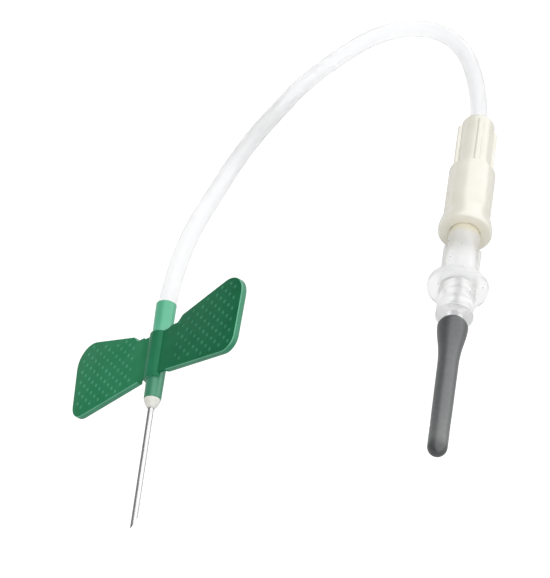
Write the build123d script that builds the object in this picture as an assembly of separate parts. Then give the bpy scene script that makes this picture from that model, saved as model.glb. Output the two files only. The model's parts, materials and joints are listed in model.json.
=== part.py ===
from build123d import *
import math
import os

os.makedirs("parts", exist_ok=True)

# Winged blood collection set. Lengths are millimetres, +Z is up, and the set lies on z = 0.

# Steel tubes
cannula_od = 0.82
cannula_bore = 0.51
needle_exposed = 18.5
needle_tail = 11.0
bevel_length = 2.3
lancet_length = 1.5
lancet_roll = 42.0
rear_needle_exposed = 21.0
rear_needle_tail = 7.0

# White needle hub: a core inside the sleeve, a nose in front and a spigot behind
core_od = 1.66
nose_base_od = 2.36
nose_tip_od = 1.04
nose_length = 1.4
nose_shoulder_od = 2.06
nose_shoulder = 0.6
spigot_length = 3.5
core_bore = 0.7

# Green sleeve, saddle, strap and wings
sleeve_rear_od = 2.86
sleeve_front_od = 2.4
sleeve_length = 14.9
sleeve_chamfer = 0.2
saddle_od = 3.3
saddle_rear = 4.85
saddle_front = 12.0
wing_face = 0.87
wing_thickness = 0.95
wing_half_span = 17.95
wing_tip_taper = 0.75
wing_root_rear = 3.7
wing_root_front = 11.6
wing_tip_rear = 0.42
wing_tip_front = 13.15
wing_rear_round = 3.1
wing_front_round = 2.2
wing_edge_chamfer = 0.12
wing_notch_length = 1.3
wing_notch_depth = 0.9
hinge_offset = 3.0
strap_thickness = 0.4
strap_inset = 0.1

# Clear tubing
tube_od = 2.5
tube_bore = 1.3
tube_socket = 4.5
tube_seat = 4.0
hub_lead = 7.0
tube_lead = 4.2

# Ivory luer connector
connector_length = 24.8
neck_od = 4.84
neck_length = 10.3
neck_chamfer = 0.8
shoulder_length = 0.55
body_od = 6.76
rim_od = 7.8
rim_land = 0.9
rim_flare = 2.4
rim_chamfer = 0.3
fin_count = 4
fin_height = 0.5
fin_width = 0.8
fin_start = 1.6
fin_round = 0.3
luer_mouth = 4.3
luer_taper = 0.06
luer_depth = 9.0
connector_bore = 1.3

# Clear luer adapter
male_length = 7.5
barrel_od = 4.62
barrel_length = 10.3
barrel_step = 0.5
rib_count = 2
rib_height = 0.42
rib_width = 1.0
rib_start = 3.2
rib_round = 0.36
flange_od = 8.8
flange_thickness = 0.9
flange_chamfer = 0.15
thread_od = 5.46
thread_length = 5.3
thread_chamfer = 0.3
boss_od = 2.6
boss_length = 3.4
boss_chamfer = 0.3
adapter_bore = 1.6

# Grey rubber sleeve
bulb_gap = 1.4
bulb_rim_od = 3.8
bulb_od = 4.4
bulb_round = 0.5
bulb_land = 1.8
bulb_length = 5.7
shaft_od = 3.0
shaft_length = 17.6
rubber_wall = 0.5

# Clearances
press_gap = 0.02
seat_gap = 0.02
hinge_gap = 0.06

# How the two ends lie: heading turns from -Y towards -X, pitch drops the tip, roll lifts the +X side
hub_x = -17.28
hub_y = -7.73
hub_heading = 6.95
hub_pitch = 14.0
hub_roll = 47.0
mouth_x = 24.8
mouth_y = 16.46
connector_heading = 6.93
connector_roll = -13.0
adapter_roll = -7.0

# Points that the tubing follows between its two straight leads
tube_points = [
    (-9.0, 15.8, 17.3),
    (-5.5, 28.3, 12.1),
    (-2.4, 40.2, 5.4),
    (2.8, 52.6, tube_od / 2),
    (14.7, 64.0, 1.3),
    (25.2, 61.0, 2.5),
]


def lying_plane(origin, heading, pitch, roll):
    """Plane whose Z runs to the tip and whose X is the roll direction."""
    h, p, r = (math.radians(v) for v in (heading, pitch, roll))
    tip = Vector(-math.sin(h) * math.cos(p), -math.cos(h) * math.cos(p), -math.sin(p))
    level = Vector(math.cos(h), -math.sin(h), 0)
    across = level * math.cos(r) + tip.cross(level) * math.sin(r)
    return Plane(origin=origin, x_dir=across, z_dir=tip)


def turned(outline, chamfers=()):
    """Solid turned about Z from an outline of (radius, z) points with some corners cut off."""
    face = make_face(Polyline(*outline, close=True))
    for radius, height, amount in chamfers:
        corner = face.vertices().sort_by_distance((radius, height, 0))[0]
        face = chamfer(corner, amount)
    return revolve(Plane.XZ * face, Axis.Z)


def bore(diameter, start, end):
    """Plug along Z for drilling a hole."""
    plug = Cylinder(diameter / 2, end - start, align=(Align.CENTER, Align.CENTER, Align.MIN))
    return Pos(0, 0, start) * plug


def bevel_cut(tip_z, length, roll):
    """Block that grinds a slanted face through the tip at (0, od/2, tip_z)."""
    normal = Vector(0, -length, cannula_od).rotate(Axis.Z, roll)
    block = 3 * length
    grind = Plane(origin=(0, cannula_od / 2, tip_z), x_dir=Vector(1, 0, 0).rotate(Axis.Z, roll), z_dir=normal)
    return grind.location * Box(block, block, block, align=(Align.CENTER, Align.CENTER, Align.MIN))


def make_cannula(start, tip_z):
    """Hollow steel tube with a long bevel and two lancet faces."""
    tube = bore(cannula_od, start, tip_z) - bore(cannula_bore, start, tip_z)
    tube -= bevel_cut(tip_z, bevel_length, 0)
    for side in (-1, 1):
        tube -= bevel_cut(tip_z, lancet_length, side * lancet_roll)
    return tube


def make_needle_hub():
    """White hub: nose in front of the sleeve, core inside it, spigot in the tubing."""
    front, tip = sleeve_length, sleeve_length + nose_length
    spigot_r = tube_bore / 2 - press_gap
    core_start, spigot_start = tube_socket + seat_gap, tube_socket - spigot_length
    hub = turned([
        (0, spigot_start), (spigot_r, spigot_start), (spigot_r, core_start), (core_od / 2, core_start),
        (core_od / 2, front), (nose_base_od / 2, front), (nose_shoulder_od / 2, front + nose_shoulder),
        (nose_tip_od / 2, tip), (0, tip),
    ])
    hub -= bore(core_bore, spigot_start, cannula_start)
    return hub - bore(cannula_od + 2 * press_gap, cannula_start, tip)


def make_wing_sleeve():
    """Soft tapered sleeve: socket for the tubing, saddle, and thin strap that carries the wings."""
    sleeve = turned(
        [(0, 0), (sleeve_rear_od / 2, 0), (sleeve_front_od / 2, sleeve_length), (0, sleeve_length)],
        [(sleeve_rear_od / 2, 0, sleeve_chamfer)],
    )
    upper_half = Pos(0, wing_face - strap_thickness, saddle_rear) * Box(
        saddle_od, saddle_od, saddle_front - saddle_rear, align=(Align.CENTER, Align.MIN, Align.MIN)
    )
    sleeve += bore(saddle_od, saddle_rear, saddle_front) & upper_half
    rear, front = saddle_rear + strap_inset, wing_root_front - strap_inset
    strap_end = hinge_offset - wing_thickness / 2 - hinge_gap
    sleeve += Pos(0, wing_face, rear) * Box(
        2 * strap_end, strap_thickness, front - rear, align=(Align.CENTER, Align.MAX, Align.MIN)
    )
    sleeve -= bore(tube_od + 2 * press_gap, 0, tube_socket + seat_gap)
    return sleeve - bore(core_od + 2 * press_gap, tube_socket, sleeve_length)


def make_wing(side):
    """One wing plate; its root is a half round on the fold axis."""
    root_rear = wing_root_rear + wing_notch_depth
    outline = make_face(Polyline(
        (hinge_offset, root_rear), (hinge_offset + wing_notch_length, root_rear),
        (hinge_offset + wing_notch_length + wing_notch_depth, wing_root_rear),
        (wing_half_span, wing_tip_rear), (wing_half_span - wing_tip_taper, wing_tip_front),
        (hinge_offset, wing_root_front), close=True,
    ))
    for corner, radius in (
        ((wing_half_span, wing_tip_rear, 0), wing_rear_round),
        ((wing_half_span - wing_tip_taper, wing_tip_front, 0), wing_front_round),
    ):
        outline = fillet(outline.vertices().sort_by_distance(corner)[0], radius)
    plate = extrude(Plane((0, wing_face, 0), x_dir=(1, 0, 0), z_dir=(0, -1, 0)) * outline, wing_thickness)
    rims = plate.faces().filter_by(Axis.Y).edges()
    plate = chamfer(rims.filter_by(lambda edge: edge.center().X > hinge_offset), wing_edge_chamfer)
    root = Pos(hinge_offset, wing_face - wing_thickness / 2, root_rear) * Cylinder(
        wing_thickness / 2, wing_root_front - root_rear, align=(Align.CENTER, Align.CENTER, Align.MIN)
    )
    wing = plate + root
    return wing if side > 0 else mirror(wing, Plane.YZ)


def make_connector():
    """Female luer connector, from its rear end at z = 0 to its mouth."""
    neck_r, body_r, rim_r = neck_od / 2, body_od / 2, rim_od / 2
    flare_start = connector_length - rim_land - rim_flare
    body = turned(
        [
            (0, 0), (neck_r, 0), (neck_r, neck_length), (body_r, neck_length + shoulder_length),
            (body_r, flare_start), (rim_r, connector_length - rim_land), (rim_r, connector_length),
            (0, connector_length),
        ],
        [(neck_r, 0, neck_chamfer), (rim_r, connector_length, rim_chamfer)],
    )
    for turn in range(fin_count):
        fin_length = neck_length + shoulder_length - fin_start
        fin = Box(fin_width, neck_r + fin_height, fin_length, align=(Align.CENTER, Align.MIN, Align.MIN))
        top = fin.edges().filter_by(Axis.X).group_by(Axis.Z)[0].sort_by(Axis.Y)[-1]
        body += Rot(0, 0, turn * 360 / fin_count) * Pos(0, 0, fin_start) * fillet(top, fin_round)
    depth_r = luer_mouth / 2 - luer_depth * luer_taper / 2
    socket = Pos(0, 0, connector_length - luer_depth) * Cone(
        depth_r, luer_mouth / 2, luer_depth, align=(Align.CENTER, Align.CENTER, Align.MIN)
    )
    body -= socket
    body -= bore(tube_od + 2 * press_gap, 0, tube_seat)
    return body - bore(connector_bore, tube_seat, connector_length - luer_depth)


def make_adapter():
    """Male luer adapter with its mouth plane at z = 0 and the boss towards +Z."""
    mouth_r = luer_mouth / 2 - seat_gap
    male_r = mouth_r - male_length * luer_taper / 2
    barrel_r, flange_r, thread_r, boss_r = (d / 2 for d in (barrel_od, flange_od, thread_od, boss_od))
    body = turned(
        [
            (0, -male_length), (male_r, -male_length), (mouth_r, 0), (barrel_r, barrel_step),
            (barrel_r, barrel_length), (flange_r, barrel_length), (flange_r, flange_face),
            (thread_r, flange_face), (thread_r, thread_end), (boss_r, thread_end),
            (boss_r, boss_end), (0, boss_end),
        ],
        [
            (flange_r, barrel_length, flange_chamfer), (flange_r, flange_face, flange_chamfer),
            (thread_r, thread_end, thread_chamfer), (boss_r, boss_end, boss_chamfer),
        ],
    )
    for turn in range(rib_count):
        rib_length = barrel_length - rib_start
        rib = Box(barrel_r + rib_height, rib_width, rib_length, align=(Align.MIN, Align.CENTER, Align.MIN))
        top = rib.edges().filter_by(Axis.Y).group_by(Axis.Z)[0].sort_by(Axis.X)[-1]
        body += Rot(0, 0, turn * 360 / rib_count) * Pos(0, 0, rib_start) * fillet(top, rib_round)
    body -= bore(adapter_bore, -male_length, rear_cannula_start)
    return body - bore(cannula_od + 2 * press_gap, rear_cannula_start, boss_end)


def make_rubber_sleeve():
    """Closed rubber sleeve: bulb over the boss, neck, long shaft and domed end."""
    start, neck = rubber_start, rubber_start + bulb_length
    end = neck + shaft_length
    rim_r, bulb_r, shaft_r = bulb_rim_od / 2, bulb_od / 2, shaft_od / 2
    mouth_r, inner_r = boss_od / 2 + press_gap, shaft_r - rubber_wall
    seat = boss_end + seat_gap
    dome = RadiusArc((shaft_r, end), (0, end + shaft_r), -shaft_r)
    rest = Polyline(
        (0, end + shaft_r), (0, end), (inner_r, end), (inner_r, seat), (mouth_r, seat),
        (mouth_r, start), (rim_r, start), (bulb_r, start + bulb_round), (bulb_r, start + bulb_land),
        (shaft_r, neck), (shaft_r, end),
    )
    face = make_face([*dome.edges(), *rest.edges()])
    return revolve(Plane.XZ * face, Axis.Z)


def corner_radii(points):
    """Largest even arc at each corner of the route."""
    radii = []
    for before, here, after in zip(points, points[1:], points[2:]):
        run_in, run_out = here - before, after - here
        half_turn = math.radians(run_in.get_angle(run_out)) / 2
        radii.append(0.45 * min(run_in.length, run_out.length) / math.tan(half_turn))
    return radii


def make_tubing(points):
    """Tubing swept along straight runs joined by tangent arcs, and bored where it is straight at its ends."""
    radii = corner_radii(points)
    path = FilletPolyline(*points, radius=radii)
    section = Plane(origin=points[0], z_dir=points[1] - points[0]) * Circle(tube_od / 2)
    tube = sweep(section, path=path)
    volume_ratio = tube.volume / section.area / path.length
    print("tubing length", round(path.length, 2), "volume ratio", round(volume_ratio, 5))
    print("tubing radii", [round(r, 1) for r in radii])
    print("tubing route", [tuple(round(v, 2) for v in point) for point in points])
    tube -= hub_plane.location * bore(tube_bore, tube_socket - spigot_length - seat_gap, tube_socket)
    return tube - connector_plane.location * bore(tube_bore, 0, tube_seat)


# Values that several pieces share
cannula_start = sleeve_length + nose_length - needle_tail
needle_tip = sleeve_length + nose_length + needle_exposed
flange_face = barrel_length + flange_thickness
thread_end = flange_face + thread_length
boss_end = thread_end + boss_length
rear_cannula_start = thread_end - rear_needle_tail
rear_needle_tip = thread_end + rear_needle_exposed
rubber_start = thread_end + bulb_gap

# The lower wing and the flange's edge rest on z = 0
sunk_plane = lying_plane(Vector(hub_x, hub_y, 0), hub_heading, hub_pitch, hub_roll)
hub_height = -(sunk_plane.location * make_wing(-1)).bounding_box().min.Z
hub_plane = lying_plane(Vector(hub_x, hub_y, hub_height), hub_heading, hub_pitch, hub_roll)
mouth = Vector(mouth_x, mouth_y, flange_od / 2)
adapter_plane = lying_plane(mouth, connector_heading, 0, adapter_roll)
connector_plane = lying_plane(mouth, connector_heading, 0, connector_roll).offset(-connector_length)
tube_route = [
    hub_plane.origin + hub_plane.z_dir * tube_socket,
    hub_plane.origin - hub_plane.z_dir * hub_lead,
    *[Vector(*point) for point in tube_points],
    connector_plane.origin - connector_plane.z_dir * tube_lead,
    connector_plane.origin + connector_plane.z_dir * tube_seat,
]

nodes = {
    "patient_cannula": hub_plane.location * make_cannula(cannula_start, needle_tip),
    "needle_hub": hub_plane.location * make_needle_hub(),
    "wing_sleeve": hub_plane.location * make_wing_sleeve(),
    "left_wing": hub_plane.location * make_wing(-1),
    "right_wing": hub_plane.location * make_wing(1),
    "tubing": make_tubing(tube_route),
    "luer_connector": connector_plane.location * make_connector(),
    "luer_adapter": adapter_plane.location * make_adapter(),
    "rear_cannula": adapter_plane.location * make_cannula(rear_cannula_start, rear_needle_tip),
    "rubber_sleeve": adapter_plane.location * make_rubber_sleeve(),
}

for name, shape in nodes.items():
    export_step(shape, f"parts/{name}.step")
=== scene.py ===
import json
import math

import bmesh
import bpy
from mathutils import Matrix, Vector


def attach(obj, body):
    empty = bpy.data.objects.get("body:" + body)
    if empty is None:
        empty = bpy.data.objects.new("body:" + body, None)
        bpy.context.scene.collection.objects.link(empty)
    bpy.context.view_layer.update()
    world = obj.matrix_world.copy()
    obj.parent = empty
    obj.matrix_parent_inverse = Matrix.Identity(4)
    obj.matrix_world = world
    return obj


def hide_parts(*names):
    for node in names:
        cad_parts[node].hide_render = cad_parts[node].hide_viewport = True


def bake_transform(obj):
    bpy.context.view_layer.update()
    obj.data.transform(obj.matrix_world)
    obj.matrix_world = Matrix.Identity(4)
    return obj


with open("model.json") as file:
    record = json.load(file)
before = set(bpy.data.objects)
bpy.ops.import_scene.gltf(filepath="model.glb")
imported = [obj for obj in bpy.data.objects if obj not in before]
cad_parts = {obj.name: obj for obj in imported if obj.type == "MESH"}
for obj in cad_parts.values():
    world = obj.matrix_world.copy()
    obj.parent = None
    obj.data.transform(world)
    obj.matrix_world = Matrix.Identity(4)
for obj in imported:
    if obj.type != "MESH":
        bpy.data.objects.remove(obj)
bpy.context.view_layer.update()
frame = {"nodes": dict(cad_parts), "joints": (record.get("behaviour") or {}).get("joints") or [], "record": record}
mounts = {mount["name"]: mount for mount in frame["record"]["mounts"]}
joints = {joint["name"]: joint for joint in frame["joints"]}
mm = 0.001  # dictionaries below are in millimetres, Blender is in metres
near = 0.01  # two measures closer than this count as the same
print("frame loaded")


def axesAt(origin, alongZ, towardsX):
    zAxis = alongZ.normalized()
    xAxis = (towardsX - towardsX.dot(zAxis) * zAxis).normalized()
    place = Matrix((xAxis, zAxis.cross(xAxis), zAxis)).transposed().to_4x4()
    place.translation = origin
    return place


# Needle end: z runs from the sleeve's rear face to the needle's tip, x along the right wing
needleEnd = {"bevelHeel": 32.5, "cannulaStart": 5.3}
needleMount = mounts["patient_needle"]
needleAxis = Vector(needleMount["axis"]).normalized()
needlePlace = axesAt(
    Vector(needleMount["pos_m"]) - needleAxis * needleEnd["bevelHeel"] * mm,
    needleAxis,
    Vector(joints["right_wing_fold"]["pos_m"]) - Vector(joints["left_wing_fold"]["pos_m"]),
)

# Luer end: z = 0 is the mouth of the ivory connector, z grows towards the rubber sleeve
luerEnd = {"threadMiddle": 13.7, "discFace": 11.2, "connectorTurn": -3.5, "connectorLength": 24.8}
threadMount = mounts["holder_thread"]
luerAxis = Vector(threadMount["axis"]).normalized()
luerOrigin = Vector(threadMount["pos_m"]) - luerAxis * luerEnd["threadMiddle"] * mm
discPoint = luerOrigin + luerAxis * luerEnd["discFace"] * mm
adapterPlace = axesAt(luerOrigin, luerAxis, Vector(mounts["holder_seat"]["pos_m"]) - discPoint)
connectorPlace = (
    adapterPlace
    @ Matrix.Rotation(math.radians(luerEnd["connectorTurn"]), 4, "Z")
    @ Matrix.Translation((0, 0, -luerEnd["connectorLength"] * mm))
)


def turned(outline, sides, closed=True):
    # outline holds (radius, z) or (radius, z, rounding)
    bm = bmesh.new()
    corners = [bm.verts.new((point[0], 0, point[1])) for point in outline]
    for start, end in zip(corners, corners[1:] + corners[:1] if closed else corners[1:]):
        bm.edges.new((start, end))
    for corner, point in zip(corners, outline):
        if len(point) > 2:
            bmesh.ops.bevel(bm, geom=[corner], affect="VERTICES", offset=point[2], segments=5,
                            profile=0.5, material=-1)
    bmesh.ops.spin(bm, geom=bm.verts[:] + bm.edges[:], cent=(0, 0, 0), axis=(0, 0, 1),
                   angle=math.tau, steps=sides, use_merge=True)
    bmesh.ops.remove_doubles(bm, verts=bm.verts, dist=0.0005)
    return bm


def roundedBox(bm, low, high, rounding):
    made = bmesh.ops.create_cube(bm, size=1)
    size = Vector(high) - Vector(low)
    bmesh.ops.scale(bm, vec=size, verts=made["verts"])
    bmesh.ops.translate(bm, vec=(Vector(high) + Vector(low)) / 2, verts=made["verts"])
    edges = {edge for vert in made["verts"] for edge in vert.link_edges}
    bmesh.ops.bevel(bm, geom=list(edges), affect="EDGES", offset=rounding, segments=3,
                    profile=0.5, material=-1)


def finished(bm, name, place, *materials, angle=35):
    bmesh.ops.recalc_face_normals(bm, faces=bm.faces)
    bm.transform(place @ Matrix.Scale(mm, 4))
    mesh = bpy.data.meshes.new(name)
    bm.to_mesh(mesh)
    bm.free()
    mesh.shade_smooth()
    mesh.set_sharp_from_angle(angle=math.radians(angle))
    for material in materials:
        mesh.materials.append(material)
    piece = bpy.data.objects.new(name, mesh)
    bpy.context.scene.collection.objects.link(piece)
    print("made", name, len(mesh.polygons))
    return piece


def newMaterial(name, **sockets):
    material = bpy.data.materials.new(name)
    material.use_nodes = True
    shader = material.node_tree.nodes["Principled BSDF"]
    for socket, value in sockets.items():
        shader.inputs[socket.replace("_", " ")].default_value = value
    return material, material.node_tree.nodes, material.node_tree.links, shader


def localPoint(nodes, links, place, stretch=(1, 1, 1)):
    # object coordinates turned into the piece's own millimetres
    coordinates = nodes.new("ShaderNodeTexCoord")
    mapping = nodes.new("ShaderNodeMapping")
    turn = place.to_3x3().transposed()
    mapping.inputs["Scale"].default_value = (1 / mm,) * 3
    mapping.inputs["Rotation"].default_value = turn.to_euler()
    mapping.inputs["Location"].default_value = -(turn @ place.translation) / mm
    scaled = nodes.new("ShaderNodeVectorMath")
    scaled.operation = "MULTIPLY"
    scaled.inputs[1].default_value = stretch
    links.new(coordinates.outputs["Object"], mapping.inputs["Vector"])
    links.new(mapping.outputs["Vector"], scaled.inputs[0])
    return scaled.outputs["Vector"]


def noise(nodes, links, point, scale):
    texture = nodes.new("ShaderNodeTexNoise")
    texture.inputs["Scale"].default_value = scale
    texture.inputs["Detail"].default_value = 3
    links.new(point, texture.inputs["Vector"])
    return texture.outputs["Fac"]


def ramp(nodes, links, value, stops):
    node = nodes.new("ShaderNodeValToRGB")
    elements = node.color_ramp.elements
    while len(elements) < len(stops):
        elements.new(0.5)
    for element, (place, color) in zip(elements, stops):
        element.position = place
        element.color = (*color, 1)
    links.new(value, node.inputs["Fac"])
    return node.outputs["Color"]


def bumps(nodes, links, shader, height, distance, strength):
    bump = nodes.new("ShaderNodeBump")
    bump.inputs["Distance"].default_value = distance * mm
    bump.inputs["Strength"].default_value = strength
    links.new(height, bump.inputs["Height"])
    links.new(bump.outputs["Normal"], shader.inputs["Normal"])


def ranged(nodes, links, value, low, high):
    node = nodes.new("ShaderNodeMapRange")
    node.inputs["To Min"].default_value = low
    node.inputs["To Max"].default_value = high
    links.new(value, node.inputs["Value"])
    return node.outputs["Result"]


def blended(nodes, links, first, second, share):
    mix = nodes.new("ShaderNodeMix")
    mix.data_type = "RGBA"
    mix.inputs["Factor"].default_value = share
    links.new(first, mix.inputs["A"])
    links.new(second, mix.inputs["B"])
    return mix.outputs["Result"]


def alongAxis(nodes, links, point, start, end):
    # 0 at z = start, 1 at z = end
    split = nodes.new("ShaderNodeSeparateXYZ")
    links.new(point, split.inputs[0])
    span = nodes.new("ShaderNodeMapRange")
    span.inputs["From Min"].default_value = start
    span.inputs["From Max"].default_value = end
    links.new(split.outputs["Z"], span.inputs["Value"])
    return span.outputs["Result"]


def drawnSteel(name, place):
    material, nodes, links, shader = newMaterial(name, Metallic=0.85, Specular_Tint=(0.55, 0.55, 0.56, 1))
    along = localPoint(nodes, links, place, (1, 1, 0.04))
    grain = noise(nodes, links, along, 9.0)
    links.new(ramp(nodes, links, grain, [(0.3, (0.38, 0.38, 0.39)), (0.7, (0.47, 0.47, 0.47))]),
              shader.inputs["Base Color"])
    links.new(ranged(nodes, links, grain, 0.36, 0.44), shader.inputs["Roughness"])
    bumps(nodes, links, shader, grain, 0.004, 0.4)
    return material


def whitePlastic(name, place):
    material, nodes, links, shader = newMaterial(
        name, Roughness=0.42, Subsurface_Weight=0.3, Subsurface_Radius=(1, 1, 1), Subsurface_Scale=0.0005,
        Specular_IOR_Level=0.4)
    point = localPoint(nodes, links, place)
    links.new(ramp(nodes, links, noise(nodes, links, point, 2.2),
                   [(0.35, (0.70, 0.70, 0.64)), (0.65, (0.80, 0.80, 0.75))]), shader.inputs["Base Color"])
    bumps(nodes, links, shader, noise(nodes, links, point, 6.0), 0.03, 0.5)
    return material


def greenVinyl(name, place, light, dark, shine=0.05, byLength=None, bySpan=None):
    # mottled green, which can also change along z or with the distance stored as "span"
    material, nodes, links, shader = newMaterial(name, Specular_IOR_Level=shine)
    point = localPoint(nodes, links, place)
    mottle = ramp(nodes, links, noise(nodes, links, point, 0.35), [(0.3, dark), (0.7, light)])
    color = mottle
    if byLength:
        share = alongAxis(nodes, links, point, 0, byLength["length"])
        along = ramp(nodes, links, share, byLength["stops"])
        color = blended(nodes, links, along, mottle, byLength["mottle"])
    if bySpan:
        attribute = nodes.new("ShaderNodeAttribute")
        attribute.attribute_name = "span"
        reach = nodes.new("ShaderNodeMapRange")
        reach.inputs["From Max"].default_value = bySpan["reach"]
        links.new(attribute.outputs["Fac"], reach.inputs["Value"])
        across = ramp(nodes, links, reach.outputs["Result"], bySpan["stops"])
        color = blended(nodes, links, across, mottle, bySpan["mottle"])
    links.new(color, shader.inputs["Base Color"])
    grain = noise(nodes, links, point, 5.0)
    links.new(ranged(nodes, links, grain, 0.26, 0.4), shader.inputs["Roughness"])
    bumps(nodes, links, shader, grain, 0.02, 0.35)
    return material


def clearVinyl(name):
    material, nodes, links, shader = newMaterial(name, Transmission_Weight=0.86, IOR=1.33)
    point = localPoint(nodes, links, Matrix.Identity(4))
    grain = noise(nodes, links, point, 0.8)
    links.new(ramp(nodes, links, grain, [(0.3, (0.97, 0.975, 0.985)), (0.7, (1.0, 1.0, 1.0))]),
              shader.inputs["Base Color"])
    links.new(ranged(nodes, links, grain, 0.35, 0.45), shader.inputs["Roughness"])
    return material


def clearPlastic(name, place):
    # painted ivory tint and shade near the mouth, standing in for the ivory socket's colour and shade seen through
    # the clear plastic; also less clear there, and clear beyond
    material, nodes, links, shader = newMaterial(name, IOR=1.33)
    point = localPoint(nodes, links, place)
    share = alongAxis(nodes, links, point, -0.5, 3.5)
    socketShade = ramp(nodes, links, share, [
        (0.0, (0.93, 0.86, 0.64)), (0.32, (0.95, 0.89, 0.7)), (0.55, (0.99, 0.99, 0.97)), (1.0, (1, 1, 1))])
    grain = noise(nodes, links, point, 1.1)
    haze = ramp(nodes, links, grain, [(0.3, (0.97, 0.98, 0.975)), (0.7, (1.0, 1.0, 1.0))])
    links.new(blended(nodes, links, socketShade, haze, 0.2), shader.inputs["Base Color"])
    links.new(ranged(nodes, links, share, 0.05, 0.66), shader.inputs["Transmission Weight"])
    links.new(ranged(nodes, links, grain, 0.24, 0.36), shader.inputs["Roughness"])
    return material


def ivoryPlastic(name, place):
    material, nodes, links, shader = newMaterial(
        name, Roughness=0.3, Subsurface_Weight=0.3, Subsurface_Radius=(1, 1, 1), Subsurface_Scale=0.0005,
        Specular_IOR_Level=0.65)
    point = localPoint(nodes, links, place)
    links.new(ramp(nodes, links, noise(nodes, links, point, 0.3),
                   [(0.3, (0.80, 0.77, 0.67)), (0.7, (0.85, 0.83, 0.75))]), shader.inputs["Base Color"])
    grain = noise(nodes, links, point, 7.0)
    links.new(ranged(nodes, links, grain, 0.16, 0.26), shader.inputs["Roughness"])
    bumps(nodes, links, shader, grain, 0.02, 0.3)
    return material


def greyRubber(name, place):
    material, nodes, links, shader = newMaterial(name, IOR=1.5)
    point = localPoint(nodes, links, place)
    # painted light and shade along the length: dark at the bulb, lighter along the shaft, a painted light band
    # just before the domed end, and painted shade on the dome
    along = ramp(nodes, links, alongAxis(nodes, links, point, 17.0, 43.5), [
        (0.0, (0.05, 0.055, 0.058)), (0.25, (0.09, 0.097, 0.098)), (0.65, (0.11, 0.118, 0.118)),
        (0.88, (0.155, 0.162, 0.162)), (0.94, (0.05, 0.052, 0.053)), (1.0, (0.035, 0.036, 0.037)),
    ])
    dust = ramp(nodes, links, noise(nodes, links, point, 1.4),
                [(0.3, (0.07, 0.075, 0.077)), (0.75, (0.13, 0.135, 0.138))])
    links.new(blended(nodes, links, along, dust, 0.3), shader.inputs["Base Color"])
    grain = noise(nodes, links, point, 8.0)
    links.new(ranged(nodes, links, grain, 0.3, 0.42), shader.inputs["Roughness"])
    bumps(nodes, links, shader, grain, 0.03, 0.5)
    return material


# Camera first: it looks down at 46 degrees at the set lying on the floor
cameraView = {
    "target": (-2.363, 9.755, 0.0), "elevation": 46.0, "distance": 620.0, "focal": 4340.0,
    "longSide": 578.0, "sensor": 36.0,
}


def addCamera(c):
    tilt = math.radians(c["elevation"])
    back = Vector((0, -math.cos(tilt), math.sin(tilt))) * c["distance"]
    data = bpy.data.cameras.new("camera")
    data.sensor_width = c["sensor"]
    data.lens = c["sensor"] * c["focal"] / c["longSide"]
    data.clip_start = 0.01
    data.clip_end = 20.0
    camera = bpy.data.objects.new("camera", data)
    camera.location = (Vector(c["target"]) + back) * mm
    camera.rotation_euler = (math.pi / 2 - tilt, 0, 0)
    bpy.context.scene.collection.objects.link(camera)
    bpy.context.scene.camera = camera


addCamera(cameraView)
print("camera placed")


# Clear tubing, from its socket in the sleeve to its seat in the connector
tubingSizes = {
    "outer": 2.5, "wall": 0.6, "length": 121.1,
    "route": [
        (-17.81, -12.06, 13.87), (-16.46, -0.99, 16.65), (-9.0, 15.8, 17.3), (-5.5, 28.3, 12.1),
        (-2.4, 40.2, 5.4), (2.8, 52.6, 1.25), (14.7, 64.0, 1.3), (25.2, 61.0, 2.5),
        (28.3, 45.25, 4.4), (27.31, 37.11, 4.4),
    ],
}


def addTubing(c):
    curve = bpy.data.curves.new("clear_tube", "CURVE")
    curve.dimensions = "3D"
    curve.resolution_u = 24
    curve.bevel_depth = c["outer"] / 2 * mm
    curve.bevel_resolution = 10
    spline = curve.splines.new("NURBS")
    spline.points.add(len(c["route"]) - 1)
    for point, place in zip(spline.points, c["route"]):
        point.co = (*(Vector(place) * mm), 1)
    spline.order_u = 3
    spline.use_endpoint_u = True
    tube = bpy.data.objects.new("clear_tube", curve)
    bpy.context.scene.collection.objects.link(tube)
    lumen = tube.modifiers.new("lumen", "SOLIDIFY")
    lumen.thickness = c["wall"] * mm
    lumen.offset = -1
    curve.materials.append(clearVinyl("clear_vinyl"))
    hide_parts("tubing")
    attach(tube, "line")
    Vector(c["route"][0]) * mm


addTubing(tubingSizes)
print("tubing laid")


# Steel cannula with its bevel and two lancet faces
cannulaSizes = {
    "outer": 0.82, "bore": 0.51, "start": needleEnd["cannulaStart"], "tip": 34.8,
    "bevel": 2.3, "lancet": 1.5, "lancetTurn": 42.0, "sides": 48,
}


def grind(bm, c, length, turn):
    # a slanting cut of the given length at the tip, turned about the needle's axis
    swing = Matrix.Rotation(math.radians(turn), 3, "Z")
    cut = bmesh.ops.bisect_plane(
        bm, geom=bm.verts[:] + bm.edges[:] + bm.faces[:], dist=0.00001,
        plane_co=Vector((0, c["outer"] / 2, c["tip"])),
        plane_no=swing @ Vector((0, -length, c["outer"])), clear_outer=True)
    return [edge for edge in cut["geom_cut"] if isinstance(edge, bmesh.types.BMEdge) and edge.is_boundary]


def addCannula(c):
    outer, inner = c["outer"] / 2, c["bore"] / 2
    wall = [(outer, c["start"]), (outer, c["tip"]), (inner, c["tip"]), (inner, c["start"])]
    bm = turned(wall, c["sides"])
    bmesh.ops.bridge_loops(bm, edges=grind(bm, c, c["bevel"], 0))
    for turn in (-c["lancetTurn"], c["lancetTurn"]):
        bmesh.ops.holes_fill(bm, edges=grind(bm, c, c["lancet"], turn))
    needle = finished(bm, "steel_cannula", needlePlace, drawnSteel("drawn_steel", needlePlace))
    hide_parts("patient_cannula")
    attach(needle, "line")


addCannula(cannulaSizes)


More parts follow.
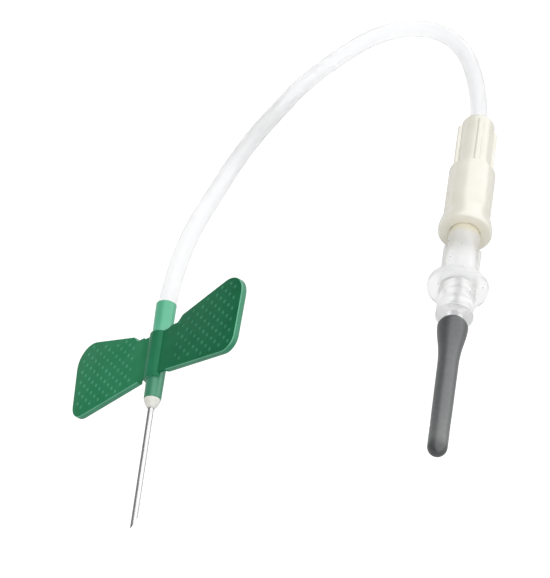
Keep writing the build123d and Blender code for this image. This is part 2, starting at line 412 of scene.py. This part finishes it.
# White hub: rounded nose, core and spigot
hubSizes = {
    "bore": 0.86, "coreBore": 0.7, "spigot": 1.26, "spigotStart": 1.0, "core": 1.66, "coreStart": 4.52,
    "front": 14.9, "noseBase": 2.36, "noseShoulder": 2.06, "shoulder": 0.6, "noseTip": 1.04, "nose": 1.4,
    "cannulaStart": needleEnd["cannulaStart"], "sides": 64,
}


def addHub(c):
    tip = c["front"] + c["nose"]
    bm = turned([
        (c["coreBore"] / 2, c["spigotStart"]), (c["spigot"] / 2, c["spigotStart"], 0.1),
        (c["spigot"] / 2, c["coreStart"]), (c["core"] / 2, c["coreStart"]), (c["core"] / 2, c["front"]),
        (c["noseBase"] / 2, c["front"], 0.12),
        (c["noseShoulder"] / 2, c["front"] + c["shoulder"], 0.3), (c["noseTip"] / 2, tip, 0.08),
        (c["bore"] / 2, tip), (c["bore"] / 2, c["cannulaStart"]), (c["coreBore"] / 2, c["cannulaStart"]),
    ], c["sides"])
    hub = finished(bm, "white_hub", needlePlace, whitePlastic("white_plastic", needlePlace))
    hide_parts("needle_hub")
    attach(hub, "line")


addHub(hubSizes)
print("needle made")


# Green moulding: tapered sleeve and saddle here, each wing with its half of the strap below
sleeveSizes = {
    "rear": 2.86, "front": 2.4, "core": 1.7, "socket": 2.54, "socketDepth": 4.52, "length": 14.9,
    "saddle": 3.28, "saddleInner": 2.2, "saddleFoot": 0.47, "saddleRear": 4.87, "saddleFront": 11.98,
    "saddleEdge": 0.1, "arcSteps": 24, "sides": 96,
}


def arc(radius, foot, count):
    # points over the top of the sleeve, from the right foot to the left one
    low = math.asin(foot / radius)
    turns = [low + (math.pi - 2 * low) * index / count for index in range(count + 1)]
    return [(radius * math.cos(turn), radius * math.sin(turn)) for turn in turns]


def addSleeve(c):
    bm = turned([
        (c["socket"] / 2, 0, 0.08), (c["rear"] / 2, 0, 0.14), (c["front"] / 2, c["length"], 0.05),
        (c["core"] / 2, c["length"]), (c["core"] / 2, c["socketDepth"]),
        (c["socket"] / 2, c["socketDepth"]),
    ], c["sides"])
    outside = arc(c["saddle"] / 2, c["saddleFoot"], c["arcSteps"])
    inside = arc(c["saddleInner"] / 2, c["saddleFoot"], c["arcSteps"])
    face = bm.faces.new([bm.verts.new((x, y, c["saddleRear"])) for x, y in outside + inside[::-1]])
    grown = bmesh.ops.extrude_face_region(bm, geom=[face], use_keep_orig=True)
    moved = [vert for vert in grown["geom"] if isinstance(vert, bmesh.types.BMVert)]
    bmesh.ops.translate(bm, vec=(0, 0, c["saddleFront"] - c["saddleRear"]), verts=moved)
    ends = [edge for edge in bm.edges if edge.verts[0].co.z == edge.verts[1].co.z
            and min(vert.co.xy.length for vert in edge.verts) > c["saddle"] / 2 - near]
    bmesh.ops.bevel(bm, geom=ends, affect="EDGES", offset=c["saddleEdge"], segments=3, profile=0.5,
                    material=-1)
    for face in bm.faces:  # only the saddle reaches beyond the sleeve's largest radius
        if face.calc_center_median().xy.length > c["rear"] / 2 + 5 * near:
            face.material_index = 1
    # painted light and shade along the sleeve: lighter at the rear and palest beside the saddle, where light comes
    # through the thin translucent sleeve, and darker in front of the saddle, in the strap's shade
    mint, pale, deep = (0.10, 0.48, 0.28), (0.15, 0.56, 0.36), (0.04, 0.22, 0.12)
    stops = [(0.0, mint), (0.2, mint), (0.32, pale), (0.8, deep), (1.0, deep)]
    vinyl = greenVinyl("green_sleeve", needlePlace, (0.07, 0.36, 0.22), (0.04, 0.26, 0.15), shine=0.5,
                       byLength={"length": c["length"], "stops": stops, "mottle": 0.25})
    saddle = greenVinyl("green_saddle", needlePlace, (0.022, 0.21, 0.1), (0.014, 0.17, 0.075), shine=0.12)
    sleeve = finished(bm, "green_sleeve", needlePlace, vinyl, saddle)
    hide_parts("wing_sleeve")
    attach(sleeve, "line")


addSleeve(sleeveSizes)


# Wing plates with their dots: x runs outwards on both, and -1 stands for the left one, 1 for the right
wingSizes = {
    "face": 0.87, "thickness": 0.95, "root": 2.95,
    "strap": 0.4, "strapRear": 4.97, "strapFront": 11.48, "strapStart": 1.2, "strapEnd": 2.4,
    "outline": [(2.95, 4.6), (4.3, 4.6, 0.1), (5.2, 3.7, 0.4), (17.95, 0.42, 3.1), (17.2, 13.15, 2.2),
                (2.95, 11.6)],
    "cornerSteps": 10, "rim": 0.16, "cuts": 14, "blendFrom": 2.3, "blendTo": 3.7, "reach": 18.0,
    "dotColumns": 13, "dotStep": 0.94, "dotStart": 4.9, "dotRows": 12, "dotPitch": 1.68,
    "firstRow": {-1: -1.12, 1: -1.77}, "dotRadius": 0.28, "dotHeight": 0.07, "dotMargin": 0.6,
    # colours per side: the left wing's plate, dots, strap and wall are painted lighter and the right one's darker,
    # as lit and shaded copies of one green; the wall is the side wall, painted lighter than the plate as lit, and
    # the rim carries a painted highlight
    "shades": {
        -1: {"plate": ((0.026, 0.23, 0.105), (0.016, 0.19, 0.08)), "strap": (0.016, 0.2, 0.085),
             "dots": ((0.07, 0.34, 0.19), (0.05, 0.28, 0.15)),
             "wall": ((0.05, 0.28, 0.155), (0.035, 0.23, 0.125)),
             "rim": ((0.11, 0.42, 0.26), (0.08, 0.35, 0.21))},
        1: {"plate": ((0.013, 0.165, 0.07), (0.008, 0.125, 0.052)), "strap": (0.014, 0.18, 0.078),
            "dots": ((0.045, 0.25, 0.135), (0.03, 0.2, 0.105)),
            "wall": ((0.035, 0.25, 0.135), (0.025, 0.2, 0.1)),
            "rim": ((0.11, 0.42, 0.26), (0.08, 0.35, 0.21))},
    },
}


def withArcs(outline, count):
    # outline holds (x, z) or (x, z, radius of the corner)
    points = []
    for before, here, after in zip(outline[-1:] + outline[:-1], outline, outline[1:] + outline[:1]):
        corner = Vector(here[:2])
        if len(here) == 2:
            points.append(corner)
            continue
        back, ahead = ((Vector(other[:2]) - corner).normalized() for other in (before, after))
        half = back.angle(ahead) / 2
        middle = corner + (back + ahead).normalized() * here[2] / math.sin(half)
        arms = [corner + arm * here[2] / math.tan(half) - middle for arm in (back, ahead)]
        points += [middle + arms[0].slerp(arms[1], step / count).normalized() * here[2]
                   for step in range(count + 1)]
    return points


def dotPlaces(side, c):
    # staggered columns, kept a margin inside the plate's outline
    corners = withArcs(c["outline"], c["cornerSteps"])
    pairs = zip(corners, corners[1:] + corners[:1])
    edges = [pair for pair in pairs if max(point.x for point in pair) > c["dotStart"]]
    for column in range(c["dotColumns"]):
        x = c["dotStart"] + column * c["dotStep"]
        z = c["firstRow"][side] + (column % 2) * c["dotPitch"] / 2
        for row in range(c["dotRows"]):
            spot = Vector((x, z + row * c["dotPitch"]))
            depth = min((end - start).normalized().cross(spot - start) for start, end in edges)
            if depth > c["dotMargin"]:
                yield spot


def addWing(side, c):
    name = "right_wing_plate" if side > 0 else "left_wing_plate"
    bm = bmesh.new()
    outline = [
        (c["strapStart"], c["strapRear"]), (c["strapEnd"], c["strapRear"]), *c["outline"],
        (c["strapEnd"], c["strapFront"]), (c["strapStart"], c["strapFront"]),
    ]
    corners = withArcs(outline, c["cornerSteps"])
    bm.faces.new([bm.verts.new((point.x, c["face"], point.y)) for point in corners])
    lower = bmesh.ops.extrude_face_region(bm, geom=bm.faces[:], use_keep_orig=True)
    moved = [vert for vert in lower["geom"] if isinstance(vert, bmesh.types.BMVert)]
    bmesh.ops.translate(bm, vec=(0, -c["thickness"], 0), verts=moved)
    bmesh.ops.recalc_face_normals(bm, faces=bm.faces)
    rims = [edge for edge in bm.edges if abs(edge.verts[0].co.y - edge.verts[1].co.y) < near
            and min(vert.co.x for vert in edge.verts) > c["strapStart"] + near]
    bmesh.ops.bevel(bm, geom=rims, affect="EDGES", offset=c["rim"], segments=3, profile=0.5, material=-1)
    for cut in range(c["cuts"] + 1):  # cuts across the plate near its root
        x = c["blendFrom"] + (c["blendTo"] - c["blendFrom"]) * cut / c["cuts"]
        bmesh.ops.bisect_plane(bm, geom=bm.verts[:] + bm.edges[:] + bm.faces[:], dist=0.0001,
                               plane_co=(x, 0, 0), plane_no=(1, 0, 0))
    for vert in bm.verts:  # the strap is thinner than the plate
        depth = (c["face"] - vert.co.y) / c["thickness"]
        grown = min(max((vert.co.x - c["strapEnd"]) / (c["root"] - c["strapEnd"]), 0), 1)
        vert.co.y = c["face"] - depth * (c["strap"] + (c["thickness"] - c["strap"]) * grown)
    plateFaces = len(bm.faces)
    bm.normal_update()
    for face in bm.faces:  # 2 is the plate's side wall, painted lighter as lit, 3 the rounded rim above it, with a painted highlight
        if face.calc_center_median().x > c["root"] and abs(face.normal.y) < 0.9:
            face.material_index = 3 if face.normal.y > 0.2 else 2
    for spot in dotPlaces(side, c):
        made = bmesh.ops.create_uvsphere(bm, u_segments=10, v_segments=6, radius=c["dotRadius"])
        bmesh.ops.scale(bm, vec=(1, c["dotHeight"] / c["dotRadius"], 1), verts=made["verts"])
        bmesh.ops.translate(bm, vec=(spot.x, c["face"], spot.y), verts=made["verts"])
    bm.faces.ensure_lookup_table()
    for face in bm.faces[plateFaces:]:  # 1 is a dot
        face.material_index = 1
    span = bm.verts.layers.float.new("span")
    for vert in bm.verts:
        vert[span] = vert.co.x
    bmesh.ops.scale(bm, vec=(side, 1, 1), verts=bm.verts)
    shades = c["shades"][side]
    light, dark = shades["plate"]
    # across the wing: the strap band is painted its own shade, standing in for the light and shade through the
    # thin translucent strap, and the plate turns darker towards its tip
    stops = [(0.0, shades["strap"]), (0.13, shades["strap"]), (0.17, light), (1.0, dark)]
    vinyl = greenVinyl("green_" + name, needlePlace, light, dark,
                       bySpan={"reach": c["reach"], "stops": stops, "mottle": 0.6})
    dots = greenVinyl("green_dots_" + name, needlePlace, *shades["dots"])
    # side wall painted lighter as lit, rounded rim painted with a highlight
    wall = greenVinyl("green_lit_wall_" + name, needlePlace, *shades["wall"], shine=0.3)
    rim = greenVinyl("green_rim_highlight_" + name, needlePlace, *shades["rim"], shine=0.5)
    wing = finished(bm, name, needlePlace, vinyl, dots, wall, rim)
    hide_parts("right_wing" if side > 0 else "left_wing")
    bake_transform(wing)


addWing(-1, wingSizes)
addWing(1, wingSizes)
print("wings made")


# Ivory female luer connector: its mouth is at z = length, its body starts at z = rear
connectorSizes = {
    "length": luerEnd["connectorLength"], "rear": 1.9, "neck": 4.84, "neckEnd": 12.0, "neckRound": 0.9,
    "shoulder": 0.55, "body": 6.76, "rim": 7.8, "rimLand": 0.9, "flare": 2.4, "rimRound": 0.35,
    "socket": 4.3, "taper": 0.06, "socketDepth": 9.0, "tube": 2.54, "tubeSeat": 4.0, "bore": 1.3,
    "fins": 4, "finWidth": 0.8, "finHeight": 0.5, "finStart": 3.3, "finRound": 0.22,
    "sides": 96,
}


def addConnector(c):
    length, depth = c["length"], c["length"] - c["socketDepth"]
    flare = length - c["rimLand"] - c["flare"]
    bm = turned([
        (c["tube"] / 2, c["rear"], 0.15), (c["neck"] / 2, c["rear"], c["neckRound"]),
        (c["neck"] / 2, c["neckEnd"]),
        (c["body"] / 2, c["neckEnd"] + c["shoulder"], 0.12), (c["body"] / 2, flare, 0.5),
        (c["rim"] / 2, length - c["rimLand"], 0.3), (c["rim"] / 2, length, c["rimRound"]),
        (c["socket"] / 2, length, 0.2), ((c["socket"] - c["socketDepth"] * c["taper"]) / 2, depth),
        (c["bore"] / 2, depth), (c["bore"] / 2, c["tubeSeat"]), (c["tube"] / 2, c["tubeSeat"]),
    ], c["sides"])
    for index in range(c["fins"]):
        fin = bmesh.new()
        low = (-c["finWidth"] / 2, c["neck"] / 4, c["finStart"])
        high = (c["finWidth"] / 2, c["neck"] / 2 + c["finHeight"], c["neckEnd"] + c["shoulder"])
        roundedBox(fin, low, high, c["finRound"])
        turn = Matrix.Rotation(math.tau * index / c["fins"], 3, "Z")
        bmesh.ops.rotate(fin, cent=(0, 0, 0), matrix=turn, verts=fin.verts)
        added = bpy.data.meshes.new("fin")
        fin.to_mesh(added)
        fin.free()
        bm.from_mesh(added)
        bpy.data.meshes.remove(added)
    ivory = ivoryPlastic("ivory_plastic", connectorPlace)
    connector = finished(bm, "ivory_connector", connectorPlace, ivory)
    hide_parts("luer_connector")
    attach(connector, "line")


addConnector(connectorSizes)


# Clear male luer adapter: ribbed barrel, disc, holder thread and boss
adapterSizes = {
    "male": 7.5, "mouth": 4.26, "taper": 0.06, "barrel": 4.62, "barrelStep": 0.5, "barrelLength": 10.3,
    "barrelRows": 0.3, "ribs": 2, "ribWidth": 1.0, "ribHeight": 0.42, "ribStart": 3.2, "ribEdge": 0.25,
    "disc": 8.8, "discFace": luerEnd["discFace"], "discRound": 0.2,
    "thread": 5.46, "threadEnd": 16.5, "threadDepth": 0.36, "threadFade": 0.5, "threadDrop": 0.25,
    "threadRows": 0.1, "pitch": 1.6, "boss": 2.6, "bossEnd": 19.9, "bore": 1.6,
    "cannula": 0.86, "cannulaStart": 9.5, "sides": 128,
}


def steps(low, high, size):
    count = max(1, round((high - low) / size))
    return [low + (high - low) * index / count for index in range(count + 1)]


def addAdapter(c):
    barrel, thread, bore = c["barrel"] / 2, c["thread"] / 2, c["bore"] / 2
    outline = [
        (bore, -c["male"]), ((c["mouth"] - c["male"] * c["taper"]) / 2, -c["male"], 0.15),
        (c["mouth"] / 2, 0),
        *[(barrel, z) for z in steps(c["barrelStep"], c["barrelLength"], c["barrelRows"])],
        (c["disc"] / 2, c["barrelLength"], c["discRound"]), (c["disc"] / 2, c["discFace"], c["discRound"]),
        *[(thread, z) for z in steps(c["discFace"], c["threadEnd"], c["threadRows"])],
        (c["boss"] / 2, c["threadEnd"]), (c["boss"] / 2, c["bossEnd"], 0.25),
        (c["cannula"] / 2, c["bossEnd"]), (c["cannula"] / 2, c["cannulaStart"]), (bore, c["cannulaStart"]),
    ]
    bm = turned(outline, c["sides"])
    for vert in bm.verts:  # raises the ribs on the barrel and cuts the thread beyond the disc
        radius = math.hypot(vert.co.x, vert.co.y)
        angle = math.atan2(vert.co.y, vert.co.x)
        z = vert.co.z
        if abs(radius - barrel) < near and c["ribStart"] < z <= c["barrelLength"]:
            off = min(abs(math.remainder(angle - math.tau * rib / c["ribs"], math.tau))
                      for rib in range(c["ribs"]))
            across = (c["ribWidth"] / 2 + c["ribEdge"] / 2 - off * radius) / c["ribEdge"]
            rise = min(max(across, 0), 1) * min((z - c["ribStart"]) / c["ribEdge"], 1)
            radius += c["ribHeight"] * math.sin(rise * math.pi / 2)
        elif abs(radius - thread) < near and c["discFace"] < z < c["threadEnd"]:
            turn = math.cos(math.tau * z / c["pitch"] - angle)
            fade = min(1, (c["threadEnd"] - z) / c["threadFade"])
            groove = c["threadDepth"] * (0.5 - 0.5 * turn) ** 0.7
            radius -= groove * fade + c["threadDrop"] * (1 - fade) ** 2
        else:
            continue
        vert.co.x, vert.co.y = radius * math.cos(angle), radius * math.sin(angle)
    clear = clearPlastic("clear_plastic", adapterPlace)
    adapter = finished(bm, "clear_adapter", adapterPlace, clear, angle=50)
    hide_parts("luer_adapter")
    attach(adapter, "adapter")


addAdapter(adapterSizes)

# The rear cannula stays as it is in the frame and only gets its steel
rearCannula = frame["nodes"]["rear_cannula"].data
rearCannula.materials.clear()
rearCannula.materials.append(drawnSteel("drawn_steel_rear", adapterPlace))


# Grey rubber sleeve with its bulb, tapered neck, long shaft and domed end
rubberSizes = {
    "start": 17.9, "rim": 3.8, "lip": 4.34, "lipEnd": 18.38, "bulb": 4.4, "bulbMiddle": 18.6,
    "fall": 4.28, "fallStart": 19.8, "neck": 3.04, "neckEnd": 23.6, "shaft": 3.0, "shaftStart": 25.6,
    "tip": 2.84, "end": 41.2, "domeStep": 0.13, "wall": 0.5, "boss": 2.64, "seat": 19.92,
    "wrinkleFrom": 35.0, "wrinkleTo": 39.5, "wrinkleDepth": 0.035, "wrinkleRate": 5.1,
    "rows": 0.25, "sides": 72,
}


def addRubber(c):
    shaft, tip = c["shaft"] / 2, c["tip"] / 2
    slope = (shaft - tip) / (c["end"] - c["neckEnd"])
    dome = [(tip * math.cos(turn), c["end"] + shaft * math.sin(turn))
            for turn in steps(0, math.pi / 2, c["domeStep"])[1:-1]]
    bm = turned([
        (0, c["end"]), (tip - c["wall"], c["end"]), (shaft - c["wall"], c["seat"]),
        (c["boss"] / 2, c["seat"]), (c["boss"] / 2, c["start"]), (c["rim"] / 2, c["start"], 0.12),
        (c["lip"] / 2, c["lipEnd"], 0.25), (c["bulb"] / 2, c["bulbMiddle"], 0.3),
        (c["fall"] / 2, c["fallStart"], 0.7), (c["neck"] / 2, c["neckEnd"], 1.6),
        *[(shaft - slope * (z - c["neckEnd"]), z) for z in steps(c["shaftStart"], c["end"], c["rows"])],
        *dome, (0, c["end"] + shaft),
    ], c["sides"], closed=False)
    for vert in bm.verts:  # faint wrinkles on the outside, towards the tip
        if vert.co.xy.length > tip - 2 * near and c["wrinkleFrom"] < vert.co.z < c["wrinkleTo"]:
            share = (vert.co.z - c["wrinkleFrom"]) / (c["wrinkleTo"] - c["wrinkleFrom"])
            wave = 0.5 + 0.5 * math.sin(vert.co.z * c["wrinkleRate"] + vert.co.x)
            ripple = math.sin(share * math.pi) * wave * c["wrinkleDepth"]
            vert.co.xy *= 1 - ripple / shaft
    grey = greyRubber("grey_rubber", adapterPlace)
    rubber = finished(bm, "grey_rubber_sleeve", adapterPlace, grey, angle=60)
    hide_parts("rubber_sleeve")
    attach(rubber, "adapter")


addRubber(rubberSizes)
print("luer end made")


# Floor, world and lamp, in metres here
stageLook = {
    "floor": 3.0, "backdrop": 1.15, "floorGlow": 1.12, "floorShade": 0.05, "floorBounce": 0.8, "sky": 0.84,
    "brightSide": (0.85, -0.1, 0.5), "mirrored": [(0.0, 0.1), (0.5, 0.2), (0.6, 2.8), (1.0, 3.0)],
    "keyPlace": (0.3, -0.3, 0.85), "keySize": 0.3, "keyPower": 1.6,
}


def seenRays(nodes, links):
    # 1 for rays that come straight from the camera or have been through clear plastic
    path = nodes.new("ShaderNodeLightPath")
    either = nodes.new("ShaderNodeMath")
    either.operation = "MAXIMUM"
    either.use_clamp = True
    links.new(path.outputs["Is Camera Ray"], either.inputs[0])
    links.new(path.outputs["Transmission Depth"], either.inputs[1])
    return either.outputs[0]


def addFloor(c):
    bm = bmesh.new()
    bmesh.ops.create_grid(bm, x_segments=1, y_segments=1, size=c["floor"] / 2)
    mesh = bpy.data.meshes.new("floor")
    bm.to_mesh(mesh)
    bm.free()
    floor = bpy.data.objects.new("floor", mesh)
    bpy.context.scene.collection.objects.link(floor)
    material = bpy.data.materials.new("pale_floor")
    material.use_nodes = True
    nodes, links = material.node_tree.nodes, material.node_tree.links
    nodes.remove(nodes["Principled BSDF"])
    glow = nodes.new("ShaderNodeEmission")
    glow.inputs["Strength"].default_value = c["floorGlow"]
    shade = nodes.new("ShaderNodeBsdfDiffuse")
    shade.inputs["Color"].default_value = (c["floorShade"],) * 3 + (1,)
    seen = nodes.new("ShaderNodeAddShader")
    links.new(glow.outputs[0], seen.inputs[0])
    links.new(shade.outputs[0], seen.inputs[1])
    bounce = nodes.new("ShaderNodeBsdfDiffuse")
    bounce.inputs["Color"].default_value = (c["floorBounce"],) * 3 + (1,)
    mix = nodes.new("ShaderNodeMixShader")
    links.new(seenRays(nodes, links), mix.inputs["Fac"])
    links.new(bounce.outputs[0], mix.inputs[1])
    links.new(seen.outputs[0], mix.inputs[2])
    links.new(mix.outputs[0], nodes["Material Output"].inputs["Surface"])
    mesh.materials.append(material)


def addWorld(c):
    # even light, white where it is seen, and a bright right-hand side in reflections
    world = bpy.data.worlds.new("studio")
    world.use_nodes = True
    bpy.context.scene.world = world
    nodes, links = world.node_tree.nodes, world.node_tree.links
    even = nodes["Background"]
    even.inputs["Color"].default_value = (1, 1, 1, 1)
    even.inputs["Strength"].default_value = c["sky"]
    towards = nodes.new("ShaderNodeVectorMath")
    towards.operation = "DOT_PRODUCT"
    towards.inputs[1].default_value = Vector(c["brightSide"]).normalized()
    links.new(nodes.new("ShaderNodeTexCoord").outputs["Generated"], towards.inputs[0])
    reach = nodes.new("ShaderNodeMapRange")
    reach.inputs["From Min"].default_value = -1
    links.new(towards.outputs["Value"], reach.inputs["Value"])
    stops = [(place, (level,) * 3) for place, level in c["mirrored"]]
    shades = ramp(nodes, links, reach.outputs["Result"], stops)
    mirrored = nodes.new("ShaderNodeBackground")
    links.new(shades, mirrored.inputs["Color"])
    white = nodes.new("ShaderNodeBackground")
    white.inputs["Color"].default_value = (1, 1, 1, 1)
    white.inputs["Strength"].default_value = c["backdrop"]
    shiny = nodes.new("ShaderNodeMixShader")
    links.new(nodes.new("ShaderNodeLightPath").outputs["Is Glossy Ray"], shiny.inputs["Fac"])
    links.new(even.outputs[0], shiny.inputs[1])
    links.new(mirrored.outputs[0], shiny.inputs[2])
    seen = nodes.new("ShaderNodeMixShader")
    links.new(seenRays(nodes, links), seen.inputs["Fac"])
    links.new(shiny.outputs[0], seen.inputs[1])
    links.new(white.outputs[0], seen.inputs[2])
    links.new(seen.outputs[0], nodes["World Output"].inputs["Surface"])


def addLamp(c):
    data = bpy.data.lights.new("key", "AREA")
    data.shape = "DISK"
    data.size = c["keySize"]
    data.energy = c["keyPower"]
    lamp = bpy.data.objects.new("key", data)
    lamp.location = c["keyPlace"]
    lamp.rotation_euler = (-lamp.location).to_track_quat("-Z", "Y").to_euler()
    lamp.visible_transmission = False
    lamp.visible_glossy = False
    bpy.context.scene.collection.objects.link(lamp)


addFloor(stageLook)
addWorld(stageLook)
addLamp(stageLook)
bpy.context.scene.view_settings.view_transform = "Standard"
print("stage set")
